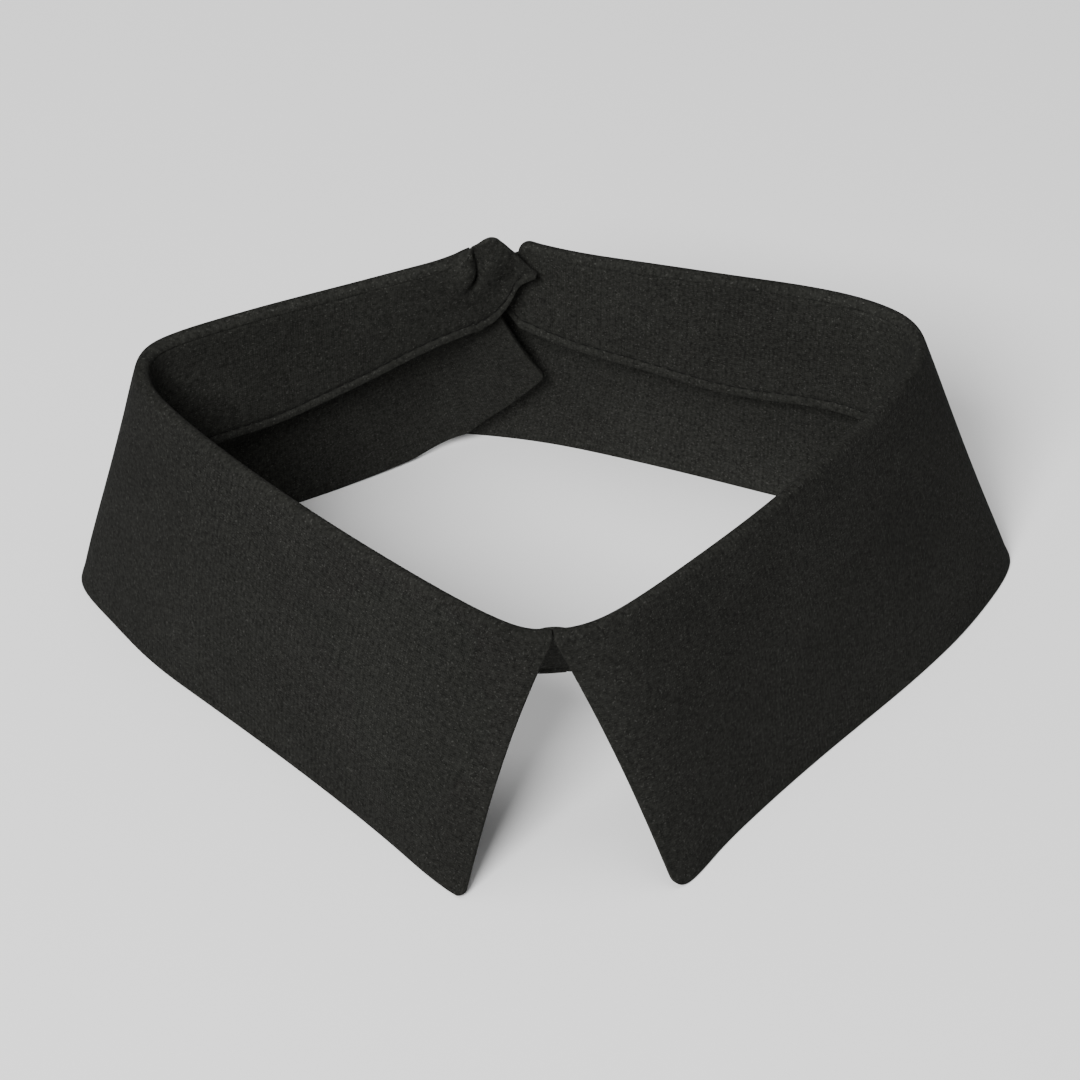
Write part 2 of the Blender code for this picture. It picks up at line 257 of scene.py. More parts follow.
# Its tones, and the spans of relief or noise over which each one comes in
CLOTH_DARK = (0.0066, 0.0067, 0.0060, 1.0)
CLOTH_LIGHT = (0.0190, 0.0192, 0.0172, 1.0)
TONE_SPAN = (0.36, 0.74)
BLACK = (0.0, 0.0, 0.0, 1.0)
WHITE = (1.0, 1.0, 1.0, 1.0)
# Pale flecks painted in as the cloth's tiny glints: painted highlights
PAINTED_GLINT_COLOUR = (0.034, 0.034, 0.031, 1.0)
PAINTED_GLINT_SPAN = (0.61, 0.73)
CLOUD_SPAN = (0.3, 0.7)
CLOUD_LIGHTNESS = (0.90, 1.12)
WORN_COLOUR = (0.022, 0.022, 0.019, 1.0)
WORN_SHARE = 0.15
CLOTH_ROUGHNESS = (0.96, 0.72)
CLOTH_SPECULAR = 0.012
NAP_WEIGHT = 0.006
NAP_ROUGHNESS = 0.55

# Uneven tones of the thread, the press stud and the floor: scale, detail, span, dark, light
THREAD_TONE = (5200.0, 2.0, (0.0, 1.0), (0.0010, 0.0010, 0.0009, 1.0), (0.0055, 0.0055, 0.0048, 1.0))
STUD_TONE = (900.0, 4.0, (0.45, 0.80), (0.012, 0.012, 0.012, 1.0), (0.090, 0.088, 0.084, 1.0))
FLOOR_TONE = (9.0, 2.0, (0.0, 1.0), (0.91, 0.91, 0.91, 1.0), (0.94, 0.94, 0.94, 1.0))
THREAD_TWIST = 0.5
THREAD_RELIEF = 0.00006
THREAD_ROUGHNESS = 0.85
THREAD_SPECULAR = 0.15
STUD_METALLIC = 0.7
STUD_ROUGHNESS = 0.34
FLOOR_ROUGHNESS = 0.9

# Studio: the floor, the soft surroundings, and each light's place, size and power
FLOOR_SIZE = 6.0
SKY_STRENGTH = 0.25
LIT_PLACE = (0.0, 0.0, 0.03)
LIGHTS = (
    ("key light", (-0.57, -1.11, 1.29), 0.65, 50.0),
    ("overhead light", (0.0, -0.1, 2.0), 1.2, 14.0),
)

# Where the camera looks, and from where
VIEW_ELEVATION = math.radians(43.0)
VIEW_AZIMUTH = math.radians(-3.4)
VIEW_DISTANCE = 0.75
VIEW_LENS = 117.5
VIEW_SENSOR = 36.0
VIEW_NEAREST = 0.01


def deselect_all():
    """Leaves nothing selected, so that an operator acts on one piece only."""
    for item in bpy.context.selected_objects:
        item.select_set(False)


def unit(vectors):
    """Each vector at length one."""
    return vectors / np.linalg.norm(vectors, axis=-1, keepdims=True)


def spline(knots, values, at):
    """A natural cubic spline through the values, read at the places asked for."""
    knots = np.asarray(knots, float)
    values = np.asarray(values, float)
    count = len(knots)
    step = np.diff(knots)
    slope = np.diff(values, axis=0) / step[:, None]
    matrix = np.eye(count)
    right = np.zeros_like(values)
    for row in range(1, count - 1):
        matrix[row, row - 1] = step[row - 1]
        matrix[row, row] = 2.0 * (step[row - 1] + step[row])
        matrix[row, row + 1] = step[row]
        right[row] = 6.0 * (slope[row] - slope[row - 1])
    bend = np.linalg.solve(matrix, right)
    at = np.clip(at, knots[0], knots[-1])
    span = np.clip(np.searchsorted(knots, at, side="right") - 1, 0, count - 2)
    width = step[span][..., None]
    after = (at - knots[span])[..., None] / width
    before = 1.0 - after
    cubic_before = (before ** 3 - before) * bend[span]
    cubic_after = (after ** 3 - after) * bend[span + 1]
    straight = before * values[span] + after * values[span + 1]
    return straight + (cubic_before + cubic_after) * width ** 2 / 6.0


def lengths_along(points):
    """The length of a line of points up to each of them."""
    steps = np.linalg.norm(np.diff(points, axis=0), axis=1)
    return np.concatenate(((0.0,), np.cumsum(steps)))


def stations(knots, steps):
    """Places between the rows of a table, the same number in each span."""
    parts = [np.linspace(a, b, steps, endpoint=False) for a, b in zip(knots[:-1], knots[1:])]
    return np.concatenate(parts + [knots[-1:]])


def outward_normals(line, turn):
    """Level normals of a line in plan, on the side away from the neck."""
    tangent = unit(np.gradient(line, axis=0) * (1.0, 1.0, 0.0))
    return unit(np.cross(tangent, UP) * turn)


def read_leaf(rows, knots, at):
    """A leaf's table between its rows: the lift of the hem straight, the rest curved."""
    dense = spline(knots, rows, at)
    dense[:, HEM_LIFT] = np.interp(at, knots, rows[:, HEM_LIFT])
    return dense


def rounded_corner(from_end, from_hem, radius):
    """How far the end edge draws back near the hem, to turn the corner in an arc."""
    rise = np.clip(radius - from_hem, 0.0, radius)
    arc = radius - math.sqrt(max(radius ** 2 - rise ** 2, 0.0))
    return arc * np.clip(1.0 - from_end / (CORNER_REACH * radius), 0.0, 1.0)


def end_drop(at, radius):
    """How far the roll drops near its end, in a quarter round."""
    if radius == 0.0:
        return np.zeros((len(at), 1))
    inside = np.clip(1.0 - at / radius, 0.0, 1.0)
    return (radius * (1.0 - np.sqrt(1.0 - inside ** 2)))[:, None]


def soft_swell(along, down, phase):
    """The slight unevenness of pressed cloth, in millimetres."""
    slow_phase, slant_phase, small_phase = [share * phase for share in SWELL_PHASES]
    slow = np.sin(along / SLOW_LENGTHS[0] + phase) * np.sin(down / SLOW_LENGTHS[1] + slow_phase)
    slant = np.sin((along + SLANT * down) / SLANT_LENGTH + slant_phase)
    small = np.sin(along / SMALL_LENGTHS[0] + down / SMALL_LENGTHS[1] + small_phase)
    return SWELL_HEIGHTS[0] * slow + SWELL_HEIGHTS[1] * slant + SWELL_HEIGHTS[2] * small


def leaf_shape(table, turn, hollow, phase, end_round):
    """The middle of a leaf's cloth, section by section, with its widths for the edge bands."""
    rows = np.asarray(table, float)
    knots = lengths_along(rows[:, FOLD])
    at = np.union1d(stations(knots, LEAF_STEPS_PER_ROW), END_STATIONS)
    length = knots[-1]
    drop = end_drop(at, end_round)
    dense = read_leaf(rows, knots, at)
    fold = dense[:, FOLD]
    out = outward_normals(fold, turn)
    slant = dense[:, HEM] - fold
    exit_angle = np.arctan2(np.sum(slant * out, axis=1), -slant[:, 2])
    fall_width = float(np.mean(np.linalg.norm(slant, axis=1)))

    columns = [fold - out * ROLL_RADIUS - UP * (FLANGE + drop)]
    for step in range(ROLL_STEPS + 1):
        angle = (math.pi + (exit_angle - math.pi) * step / ROLL_STEPS)[:, None]
        ray = np.cos(angle) * out + np.sin(angle) * UP
        columns.append(fold + ray * ROLL_RADIUS - UP * drop)
    rolled = len(columns)

    count = int(round(fall_width / FALL_SPACING))
    shares = np.linspace(0.0, 1.0, count + 1)[1:]
    near_hem = 1.0 - np.array(HEM_ROWS) / fall_width
    shares = np.unique(np.concatenate((shares[shares < near_hem[0]], near_hem, (1.0,))))
    for share in shares:
        swell = 4.0 * share * (1.0 - share)
        back = hollow[0] * swell
        front = hollow[1] * swell
        cut = back + at * (1.0 - (back + front) / length)
        from_hem = (1.0 - share) * fall_width
        cut = cut - rounded_corner(length - at, from_hem, POINT_RADIUS)
        cut = cut + rounded_corner(at, from_hem, CORNER_RADIUS)
        section = read_leaf(rows, knots, cut)
        point = section[:, FOLD]
        side = outward_normals(point, turn)
        lean = section[:, HEM] - point
        angle = np.arctan2(np.sum(lean * side, axis=1), -lean[:, 2])[:, None]
        ray = np.cos(angle) * side + np.sin(angle) * UP
        start = point + ray * ROLL_RADIUS
        calm = np.clip(np.minimum(share, 1.0 - share) * CALM_STEEPNESS, 0.0, 1.0)
        calm = calm * np.clip((at - CALM_END) / CALM_END, 0.0, 1.0)
        bump = soft_swell(at, share * fall_width, phase) * calm
        lift = ray * (section[:, BELLY] * swell + bump[:, None])
        sag = UP * drop * max(1.0 - DROP_FADE * share, 0.0)
        columns.append(start + (section[:, HEM] - start) * share + lift - sag)
    points = np.stack(columns, axis=1)

    down = np.concatenate((np.full(rolled, -fall_width), shares * fall_width))
    from_edge = np.minimum(at, length - at)[:, None] * np.ones(len(down))
    from_edge = np.minimum(from_edge, (fall_width - down)[None, :])
    return points, from_edge, dense, (length, fall_width)


def stand_path(left, right):
    """Top and foot of the stand under the two rolls, from the left leaf to the right one."""
    centre = (left[-1:] + right[-1:]) / 2.0
    dense = np.concatenate((left[:-1], centre, right[-2::-1]))
    fold = dense[:, FOLD]
    out = outward_normals(fold, 1.0)
    seam = fold - out * ROLL_RADIUS - UP * FLANGE
    foot = seam - UP * dense[:, STAND_HEIGHT] - out * dense[:, FOOT_LEAN]
    from_front = np.linalg.norm(fold - centre[:, FOLD], axis=1)
    from_end = np.linalg.norm(fold - fold[0], axis=1)
    rise = SEAM_OVERLAP + FRONT_RISE * np.exp(-(from_front / FRONT_RISE_WIDTH) ** 2)
    rise = rise + END_RISE * np.exp(-(from_end / END_RISE_WIDTH) ** 2)
    return seam + UP * rise[:, None], foot


def tab_path(table, top, foot):
    """Top and foot of one end of the stand, carried on from the sections next to it."""
    rows = np.asarray(table, float)
    tops = np.concatenate((top, rows[:, TAB_TOP]))
    feet = np.concatenate((foot, rows[:, TAB_FOOT]))
    knots = lengths_along(tops[:, 0:2])
    at = stations(knots[1:], TAB_STEPS_PER_ROW)[1:]
    both = spline(knots, np.concatenate((tops, feet), axis=1), at)
    straight = np.interp(at, knots, tops[:, 2])
    count = 2 * TAB_EASING + 1
    eased = np.convolve(np.pad(straight, TAB_EASING, mode="edge"), np.ones(count) / count, mode="valid")
    eased[-TAB_EASING:] = straight[-TAB_EASING:]
    both[:, 2] = eased
    return both[:, 0:3], both[:, 3:6]


def stand_shape(left, right):
    """The middle of the stand's cloth from end to end, and the thickness at each place."""
    top, foot = stand_path(left, right)
    left_end = tab_path(LEFT_TAB, top[1::-1], foot[1::-1])
    right_end = tab_path(RIGHT_TAB, top[-2:], foot[-2:])
    top = np.concatenate((left_end[0][::-1], top, right_end[0]))
    foot = np.concatenate((left_end[1][::-1], foot, right_end[1]))
    height = np.linalg.norm(top - foot, axis=1)
    near_foot = np.array(FOOT_ROWS)
    rest = np.linspace(0.0, 1.0, STAND_ROWS)[1:]
    squeeze = np.minimum(1.0, 0.5 * height / near_foot[-1])
    above = [value * squeeze for value in near_foot]
    start = above[-1]
    above += [start + (height - start) * share for share in rest]
    above = np.stack(above, axis=1)
    share = above / height[:, None]
    points = foot[:, None, :] + (top - foot)[:, None, :] * share[..., None]
    along = np.gradient(points, axis=0)
    upward = np.gradient(points, axis=1)
    normal = unit(np.cross(along, upward))
    return points, normal, above, lengths_along(top)


def crease(points, normal, path, width, depth):
    """A soft trough pressed in along a path of points, and how near each place is to it."""
    path = np.asarray(path, float)
    ends = path[1:] - path[:-1]
    nearest = np.full(points.shape[:2], np.inf)
    depths = np.zeros(points.shape[:2])
    for index, start in enumerate(path[:-1]):
        offset = points - start
        share = np.clip(np.sum(offset * ends[index], axis=-1) / np.sum(ends[index] ** 2), 0.0, 1.0)
        gap = np.linalg.norm(offset - share[..., None] * ends[index], axis=-1)
        here = depth[index] + (depth[index + 1] - depth[index]) * share
        closer = gap < nearest
        nearest = np.where(closer, gap, nearest)
        depths = np.where(closer, here, depths)
    share = np.exp(-(nearest / width) ** 2)
    return points - normal * (depths * share)[..., None], share


def bulge(points, normal, centre, radii, height):
    """A soft swelling of the cloth round a place."""
    offset = (points - np.asarray(centre)) / np.asarray(radii)
    rise = height * np.exp(-np.sum(offset ** 2, axis=-1))
    return points + normal * rise[..., None]


def lay_cloth(name, points, thickness, wear, flat, painted_light, lining, facing):
    """A sheet of cloth: a grid laid on the form, given its thickness, and smoothed."""
    rows, columns = points.shape[:2]
    deselect_all()
    bpy.ops.mesh.primitive_grid_add(x_subdivisions=rows - 1, y_subdivisions=columns - 1, size=1.0)
    item = bpy.context.object
    item.name = name
    mesh = item.data
    mesh.name = name
    start = np.empty(len(mesh.vertices) * 3)
    mesh.vertices.foreach_get("co", start)
    start = start.reshape(-1, 3)
    i = np.rint((start[:, 0] + 0.5) * (rows - 1)).astype(int)
    j = np.rint((start[:, 1] + 0.5) * (columns - 1)).astype(int)
    place = (points[i, j] - FOOTPRINT_MIDDLE) * MM
    mesh.vertices.foreach_set("co", place.ravel())
    worn = mesh.attributes.new("edge_wear", "FLOAT", "POINT")
    worn.data.foreach_set("value", wear[i, j].astype(np.float32))
    # Painted light: a factor for each place, read by the material, that lightens the cloth where light
    # is painted in
    shade = mesh.attributes.new("cloth_painted_light", "FLOAT", "POINT")
    shade.data.foreach_set("value", painted_light[i, j].astype(np.float32))
    charts = mesh.uv_layers.active.data
    chart = np.empty(len(charts) * 2)
    charts.foreach_get("uv", chart)
    chart = chart.reshape(-1, 2) * flat
    charts.foreach_set("uv", chart.ravel())
    group = item.vertex_groups.new(name="thickness")
    for vertex, value in enumerate(thickness[i, j]):
        group.add([vertex], float(value), "REPLACE")
    mesh.update()

    shell = item.modifiers.new("cloth thickness", "SOLIDIFY")
    shell.thickness = WALL * MM
    shell.offset = 0.0
    shell.vertex_group = group.name
    shell.shell_vertex_group = item.vertex_groups.new(name="lining").name
    smooth = item.modifiers.new("soft edges", "SUBSURF")
    smooth.levels = 1
    smooth.render_levels = 1
    for modifier in ("cloth thickness", "soft edges"):
        bpy.ops.object.modifier_apply(modifier=modifier)
    paint_light_on_lining(item, lining, facing)
    item.vertex_groups.clear()
    bpy.ops.object.mode_set(mode="EDIT")
    bpy.ops.mesh.select_all(action="SELECT")
    bpy.ops.mesh.normals_make_consistent(inside=False)
    bpy.ops.mesh.select_all(action="DESELECT")
    bpy.ops.object.mode_set(mode="OBJECT")
    bpy.ops.object.shade_smooth()
    item.select_set(False)
    return item


def paint_light_on_lining(item, lining, facing):
    """Paints light on the side that faces the neck: makes it lighter than the other, as painted light.

    facing is +1 where the shell's second side is the outer one, and -1 where it is the inner one.
    """
    mesh = item.data
    wanted = item.vertex_groups["lining"].index
    share = np.zeros(len(mesh.vertices))
    for vertex in mesh.vertices:
        for entry in vertex.groups:
            if entry.group == wanted:
                share[vertex.index] = entry.weight
    if facing > 0:
        share = 1.0 - share
    shade = mesh.attributes["cloth_painted_light"].data
    value = np.empty(len(shade))
    shade.foreach_get("value", value)
    shade.foreach_set("value", (value * (1.0 + (lining - 1.0) * share)).astype(np.float32))


def edge_thickness(from_edge):
    """Full thickness in the turned edge, and a little less in the open cloth."""
    fade = np.clip((from_edge - EDGE_BAND) / (EDGE_FADE - EDGE_BAND), 0.0, 1.0)
    fade = fade * fade * (3.0 - 2.0 * fade)
    return 1.0 + (PLAIN_THICKNESS - 1.0) * fade


def edge_wear(from_edge):
    """One along an edge, fading to nothing over the turned band."""
    return np.clip(1.0 - from_edge / WEAR_BAND, 0.0, 1.0) ** WEAR_FADE


def make_leaf(name, table, turn, hollow, phase, end_round, node):
    """One leaf of the collar, in its own sheet of cloth."""
    points, from_edge, dense, (length, fall_width) = leaf_shape(table, turn, hollow, phase, end_round)
    flat = (length * MM, fall_width * MM)
    # Painted light: the flange and roll fade from the stand's painted light to the face's, and the
    # under side gets the lining's painted light
    painted_light = np.ones(points.shape[:2])
    rolled = ROLL_STEPS + FLANGE_COLUMNS
    painted_light[:, :rolled] = np.linspace(STAND_PAINTED_LIGHT, 1.0, rolled)
    thickness = edge_thickness(from_edge)
    thickness[:, :FLANGE_COLUMNS] = FLANGE_THICKNESS
    wear = edge_wear(from_edge)
    item = lay_cloth(
        name, points, thickness, wear, flat, painted_light, lining=LINING_PAINTED_LIGHT, facing=turn
    )
    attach(item, "root")
    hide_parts(node)
    return item, dense


def stand_thickness(above):
    """The foot's ridge, the groove of the stitches, and the open cloth above."""
    thick = np.full(above.shape, PLAIN_THICKNESS)
    thick = np.where(above <= FOOT_RIDGE, RIDGE_THICKNESS, thick)
    groove = np.exp(-((above - STITCH_HEIGHT) / GROOVE_WIDTH) ** 2)
    return thick + (GROOVE_THICKNESS - thick) * groove


def make_stand(left, right):
    """The band round the neck, with the crease beside its lifted end."""
    points, normal, above, along = stand_shape(left, right)
    inward = inward_side(points, normal)
    for centre, radii, height in STAND_SWELLS:
        points = bulge(points, inward, centre, radii, height)
    points, pinched = crease(points, inward, CREASE_LINE, CREASE_WIDTH, CREASE_DEPTHS)
    points, _ = crease(points, inward, TIP_CREASE_LINE, CREASE_WIDTH, TIP_CREASE_DEPTHS)
    wave = soft_swell(along[:, None], above, STAND_PHASE) * np.clip(above / CALM_FOOT, 0.0, 1.0)
    calm = np.clip(1.0 - above / above[:, -1:], 0.0, 1.0) * 2.0
    points = points + normal * (wave * np.clip(calm, 0.0, 1.0))[..., None]
    ends = np.minimum(along, along[-1] - along)[:, None] * np.ones(above.shape[1])
    wear = edge_wear(np.minimum(above, ends))
    thickness = stand_thickness(above) * (1.0 - CREASE_PINCH * pinched)
    flat = (along[-1] * MM, STAND_CHART_WIDTH)
    # Painted light: the whole stand is made lighter than the leaves' faces
    painted_light = np.full(points.shape[:2], STAND_PAINTED_LIGHT)
    item = lay_cloth(
        "cloth_stand", points, thickness, wear, flat, painted_light, lining=1.0, facing=1.0
    )
    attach(item, "root")
    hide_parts("stand")
    return item, points, normal, above, along


def make_stitches(points, normal, above, along):
    """A row of stitches along the stand's foot, on the side that faces the neck."""
    column = int(np.argmin(np.abs(above[len(above) // 2] - STITCH_HEIGHT)))
    line = points[:, column] + inward_side(points, normal)[:, column] * (WALL * GROOVE_THICKNESS / 2.0)
    places = np.arange(STITCH_PITCH, along[-1] - STITCH_PITCH, STITCH_PITCH)
    deselect_all()
    bpy.ops.mesh.primitive_uv_sphere_add(
        segments=THREAD_SEGMENTS, ring_count=THREAD_RINGS, radius=THREAD_RADIUS * MM
    )
    bead = bpy.context.object
    bpy.ops.object.mode_set(mode="EDIT")
    bpy.ops.mesh.select_all(action="SELECT")
    stretch = STITCH_LENGTH / (2.0 * THREAD_RADIUS)
    bpy.ops.transform.resize(value=(1.0, 1.0, stretch))
    bpy.ops.object.mode_set(mode="OBJECT")
    copies = []
    for place in places:
        here = np.array([np.interp(place, along, line[:, axis]) for axis in range(3)])
        ahead = np.array([np.interp(place + STITCH_AHEAD, along, line[:, axis]) for axis in range(3)])
        stitch = bpy.data.objects.new("stitch", bead.data.copy())
        bpy.context.scene.collection.objects.link(stitch)
        turn = Vector(ahead - here).to_track_quat("Z", "Y").to_matrix().to_4x4()
        turn.translation = Vector((here - FOOTPRINT_MIDDLE) * MM)
        stitch.data.transform(turn)
        copies.append(stitch)
    bpy.data.objects.remove(bead, do_unlink=True)
    deselect_all()
    for stitch in copies:
        stitch.select_set(True)
    bpy.context.view_layer.objects.active = copies[0]
    bpy.ops.object.join()
    row = bpy.context.object
    row.name = "stand_stitching"
    row.data.name = "stand_stitching"
    bpy.ops.object.shade_smooth()
    row.select_set(False)
    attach(row, "root")
    return row


def inward_side(points, normal):
    """The normals, turned to the side that faces the middle of the neck."""
    side = np.sign(np.sum(normal * (NECK_MIDDLE - points), axis=-1, keepdims=True))
    return normal * side


def add_node(tree, kind, place, **values):
    """A node with the given settings, and values on its sockets."""
    node = tree.nodes.new(kind)
    node.location = place
    for name, value in values.items():
        if name in node.inputs:
            node.inputs[name].default_value = value
        else:
            setattr(node, name, value)
    return node


def new_material(name):
    """An empty material with its shader and output."""
    material = bpy.data.materials.new(name)
    material.use_nodes = True
    tree = material.node_tree
    return material, tree, tree.nodes["Principled BSDF"]


def add_ramp(tree, place, span, dark, light):
    """A ramp from a dark tone to a light one over a span of its input."""
    ramp = add_node(tree, "ShaderNodeValToRGB", place)
    for element, position, colour in zip(ramp.color_ramp.elements, span, (dark, light)):
        element.position = position
        element.color = colour
    return ramp


def uneven_tone_group():
    """A shader group: a noise over the piece, and the colour that it mixes from two tones."""
    group = bpy.data.node_groups.new("uneven tone", "ShaderNodeTree")
    group.interface.new_socket("Vector", in_out="INPUT", socket_type="NodeSocketVector")
    for name in ("Scale", "Detail", "Low", "High"):
        group.interface.new_socket(name, in_out="INPUT", socket_type="NodeSocketFloat")
    for name in ("Dark", "Light"):
        group.interface.new_socket(name, in_out="INPUT", socket_type="NodeSocketColor")
    group.interface.new_socket("Colour", in_out="OUTPUT", socket_type="NodeSocketColor")
    group.interface.new_socket("Grain", in_out="OUTPUT", socket_type="NodeSocketFloat")
    link = group.links.new
    given = add_node(group, "NodeGroupInput", (-800, 0))
    noise = add_node(group, "ShaderNodeTexNoise", (-560, 0))
    share = add_node(group, "ShaderNodeMapRange", (-320, 0))
    mixed = add_node(group, "ShaderNodeMix", (-80, 0), data_type="RGBA", blend_type="MIX")
    made = add_node(group, "NodeGroupOutput", (160, 0))
    for name in ("Vector", "Scale", "Detail"):
        link(given.outputs[name], noise.inputs[name])
    link(noise.outputs["Fac"], share.inputs["Value"])
    link(given.outputs["Low"], share.inputs["From Min"])
    link(given.outputs["High"], share.inputs["From Max"])
    link(share.outputs["Result"], mixed.inputs["Factor"])
    link(given.outputs["Dark"], mixed.inputs["A"])
    link(given.outputs["Light"], mixed.inputs["B"])
    link(mixed.outputs["Result"], made.inputs["Colour"])
    link(noise.outputs["Fac"], made.inputs["Grain"])
    return group


def add_uneven_tone(tree, shader, group, values):
    """Gives a material the shared uneven tone, with its own values."""
    scale, detail, span, dark, light = values
    place = add_node(tree, "ShaderNodeTexCoord", (-800, 0))
    tone = add_node(
        tree, "ShaderNodeGroup", (-560, 0), node_tree=group, Scale=scale, Detail=detail,
        Low=span[0], High=span[1], Dark=dark, Light=light,
    )
    tree.links.new(place.outputs["Object"], tone.inputs["Vector"])
    tree.links.new(tone.outputs["Colour"], shader.inputs["Base Color"])
    return tone


def cloth_material():
    """Charcoal crepe: a fine grainy weave, matt, with a soft nap."""
    material, tree, shader = new_material("charcoal crepe")
    link = tree.links.new
    place = add_node(tree, "ShaderNodeTexCoord", (-1500, 0))
    chart = add_node(tree, "ShaderNodeUVMap", (-1500, -500), uv_map="UVMap")

    grain = add_node(
        tree, "ShaderNodeTexNoise", (-1200, 300), Scale=GRAIN_SCALE, Detail=5.0, Roughness=0.68
    )
    glint_noise = add_node(
        tree, "ShaderNodeTexNoise", (-1200, 60), Scale=PAINTED_GLINT_SCALE, Detail=2.0, Roughness=0.5
    )
    cloud = add_node(
        tree, "ShaderNodeTexNoise", (-1200, -180), Scale=CLOUD_SCALE, Detail=3.0, Roughness=0.55
    )
    for noise in (grain, glint_noise, cloud):
        link(place.outputs["Object"], noise.inputs["Vector"])
    threads = []
    for direction, scale, height in (("X", WARP_SCALE, -440), ("Y", WEFT_SCALE, -700)):
        thread = add_node(
            tree, "ShaderNodeTexWave", (-1200, height), bands_direction=direction, Scale=scale,
            Distortion=THREAD_WANDER,
        )
        thread.inputs["Detail Scale"].default_value = 2.0
        link(chart.outputs["UV"], thread.inputs["Vector"])
        threads.append(thread)

    weave = add_node(tree, "ShaderNodeMath", (-950, -560), operation="MULTIPLY")
    for index, thread in enumerate(threads):
        link(thread.outputs["Fac"], weave.inputs[index])
    relief = add_node(tree, "ShaderNodeMath", (-720, -300), operation="MULTIPLY_ADD")
    relief.inputs[1].default_value = WEAVE_SHARE
    link(weave.outputs["Value"], relief.inputs[0])
    link(grain.outputs["Fac"], relief.inputs[2])
    bump = add_node(
        tree, "ShaderNodeBump", (-480, -300), Strength=RELIEF_STRENGTH, Distance=RELIEF_HEIGHT
    )
    link(relief.outputs["Value"], bump.inputs["Height"])
    link(bump.outputs["Normal"], shader.inputs["Normal"])

    tone = add_ramp(tree, (-950, 300), TONE_SPAN, CLOTH_DARK, CLOTH_LIGHT)
    link(relief.outputs["Value"], tone.inputs["Fac"])
    # Painted highlights: pale flecks that stand for the tiny glints of the fibres
    painted_glint_mask = add_ramp(tree, (-950, 60), PAINTED_GLINT_SPAN, BLACK, WHITE)
    link(glint_noise.outputs["Fac"], painted_glint_mask.inputs["Fac"])
    with_painted_glints = add_node(tree, "ShaderNodeMix", (-640, 250), data_type="RGBA", blend_type="MIX")
    with_painted_glints.inputs["B"].default_value = PAINTED_GLINT_COLOUR
    link(painted_glint_mask.outputs["Color"], with_painted_glints.inputs["Factor"])
    link(tone.outputs["Color"], with_painted_glints.inputs["A"])

    mottle = add_node(tree, "ShaderNodeMapRange", (-950, -180))
    mottle.inputs["From Min"].default_value = CLOUD_SPAN[0]
    mottle.inputs["From Max"].default_value = CLOUD_SPAN[1]
    mottle.inputs["To Min"].default_value = CLOUD_LIGHTNESS[0]
    mottle.inputs["To Max"].default_value = CLOUD_LIGHTNESS[1]
    link(cloud.outputs["Fac"], mottle.inputs["Value"])
    shaded = add_node(tree, "ShaderNodeVectorMath", (-440, 200), operation="SCALE")
    link(with_painted_glints.outputs["Result"], shaded.inputs["Vector"])
    # Painted light: the mesh's factor lightens the tone of the stand and the leaves' under sides
    painted_light = add_node(tree, "ShaderNodeAttribute", (-950, -60), attribute_name="cloth_painted_light")
    lit = add_node(tree, "ShaderNodeMath", (-640, -60), operation="MULTIPLY")
    link(mottle.outputs["Result"], lit.inputs[0])
    link(painted_light.outputs["Fac"], lit.inputs[1])
    link(lit.outputs["Value"], shaded.inputs["Scale"])

    worn = add_node(tree, "ShaderNodeAttribute", (-640, 520), attribute_name="edge_wear")
    rubbed = add_node(tree, "ShaderNodeMix", (-240, 250), data_type="RGBA", blend_type="MIX")
    rubbed.inputs["B"].default_value = WORN_COLOUR
    wear_share = add_node(tree, "ShaderNodeMath", (-440, 480), operation="MULTIPLY")
    wear_share.inputs[1].default_value = WORN_SHARE
    link(worn.outputs["Fac"], wear_share.inputs[0])
    link(wear_share.outputs["Value"], rubbed.inputs["Factor"])
    link(shaded.outputs["Vector"], rubbed.inputs["A"])
    link(rubbed.outputs["Result"], shader.inputs["Base Color"])

    matt = add_node(tree, "ShaderNodeMapRange", (-480, 0))
    matt.inputs["To Min"].default_value = CLOTH_ROUGHNESS[0]
    matt.inputs["To Max"].default_value = CLOTH_ROUGHNESS[1]
    link(grain.outputs["Fac"], matt.inputs["Value"])
    link(matt.outputs["Result"], shader.inputs["Roughness"])
    shader.inputs["Specular IOR Level"].default_value = CLOTH_SPECULAR
    shader.inputs["Sheen Weight"].default_value = NAP_WEIGHT
    shader.inputs["Sheen Roughness"].default_value = NAP_ROUGHNESS
    return material


def thread_material(group):
    """Black sewing thread, with the slight twist of its ply."""
    material, tree, shader = new_material("black thread")
    tone = add_uneven_tone(tree, shader, group, THREAD_TONE)
    bump = add_node(
        tree, "ShaderNodeBump", (-300, -220), Strength=THREAD_TWIST, Distance=THREAD_RELIEF
    )
    tree.links.new(tone.outputs["Grain"], bump.inputs["Height"])
    tree.links.new(bump.outputs["Normal"], shader.inputs["Normal"])
    shader.inputs["Roughness"].default_value = THREAD_ROUGHNESS
    shader.inputs["Specular IOR Level"].default_value = THREAD_SPECULAR
    return material


def press_stud_material(group):
    """Black lacquered metal, a little rubbed."""
    material, tree, shader = new_material("lacquered press stud")
    add_uneven_tone(tree, shader, group, STUD_TONE)
    shader.inputs["Metallic"].default_value = STUD_METALLIC
    shader.inputs["Roughness"].default_value = STUD_ROUGHNESS
    return material


def floor_material(group):
    """A plain pale surface with the faintest grain."""
    material, tree, shader = new_material("pale floor")
    add_uneven_tone(tree, shader, group, FLOOR_TONE)
    shader.inputs["Roughness"].default_value = FLOOR_ROUGHNESS
    return material


def dress(item, material):
    """Gives a piece its one finish."""
    item.data.materials.clear()
    item.data.materials.append(material)


def area_light(name, place, target, size, power):
    """A soft square light aimed at a point."""
    lamp = bpy.data.lights.new(name, "AREA")
    lamp.shape = "SQUARE"
    lamp.size = size
    lamp.energy = power
    item = bpy.data.objects.new(name, lamp)
    item.location = place
    item.rotation_euler = (Vector(target) - Vector(place)).to_track_quat("-Z", "Y").to_euler()
    bpy.context.scene.collection.objects.link(item)


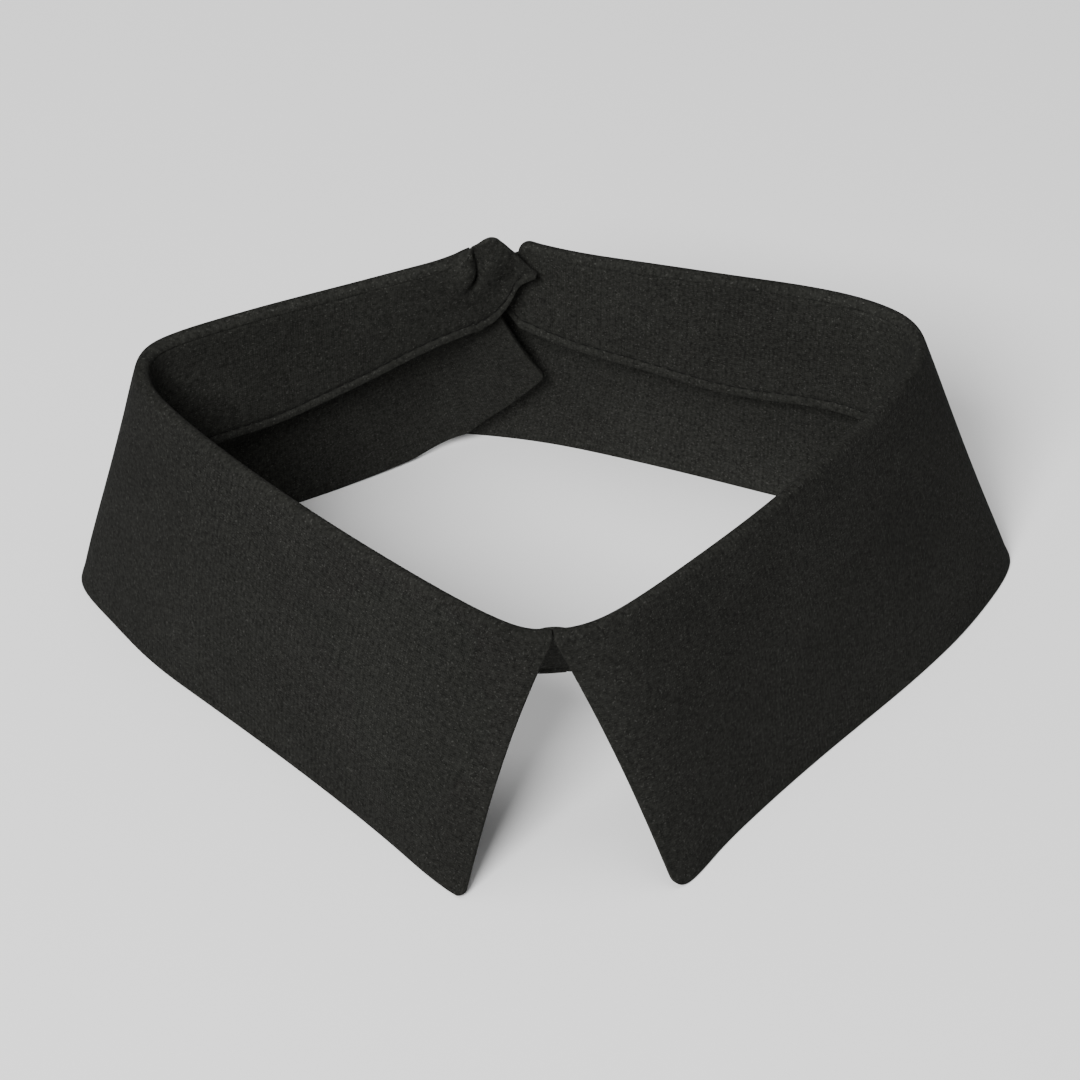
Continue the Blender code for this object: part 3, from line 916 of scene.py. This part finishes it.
def make_studio(group):
    """A pale floor, soft light from the upper left, and the camera."""
    deselect_all()
    bpy.ops.mesh.primitive_plane_add(size=FLOOR_SIZE, location=(0.0, 0.0, 0.0))
    floor = bpy.context.object
    floor.name = "floor"
    dress(floor, floor_material(group))
    floor.select_set(False)

    world = bpy.data.worlds.new("soft studio")
    bpy.context.scene.world = world
    world.use_nodes = True
    sky = world.node_tree.nodes["Background"]
    sky.inputs["Color"].default_value = WHITE
    sky.inputs["Strength"].default_value = SKY_STRENGTH
    for name, place, size, power in LIGHTS:
        area_light(name, place, LIT_PLACE, size, power)

    target = Vector(-FOOTPRINT_MIDDLE * MM)
    level = math.cos(VIEW_ELEVATION)
    back = Vector((
        math.sin(VIEW_AZIMUTH) * level,
        -math.cos(VIEW_AZIMUTH) * level,
        math.sin(VIEW_ELEVATION),
    ))
    lens = bpy.data.cameras.new("camera")
    lens.lens = VIEW_LENS
    lens.sensor_width = VIEW_SENSOR
    lens.clip_start = VIEW_NEAREST
    camera = bpy.data.objects.new("camera", lens)
    camera.location = target + back * VIEW_DISTANCE
    camera.rotation_euler = (-back).to_track_quat("-Z", "Y").to_euler()
    bpy.context.scene.collection.objects.link(camera)
    bpy.context.scene.camera = camera


def main():
    """Makes the cloth and its sewing, gives each piece its finish, and sets up the studio."""
    cloth = cloth_material()
    uneven_tone = uneven_tone_group()
    left, left_rows = make_leaf(
        "cloth_leaf_left", LEFT_LEAF, LEFT_TURN, LEFT_HOLLOW, LEFT_PHASE, LEFT_END_ROUND,
        "leaf_left",
    )
    right, right_rows = make_leaf(
        "cloth_leaf_right", RIGHT_LEAF, RIGHT_TURN, RIGHT_HOLLOW, RIGHT_PHASE, RIGHT_END_ROUND,
        "leaf_right",
    )
    stand, points, normal, above, along = make_stand(left_rows, right_rows)
    stitches = make_stitches(points, normal, above, along)
    for piece in (left, right, stand):
        dress(piece, cloth)
    dress(stitches, thread_material(uneven_tone))
    metal = press_stud_material(uneven_tone)
    for name in ("snap_stud", "snap_socket"):
        dress(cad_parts[name], metal)
    make_studio(uneven_tone)


main()
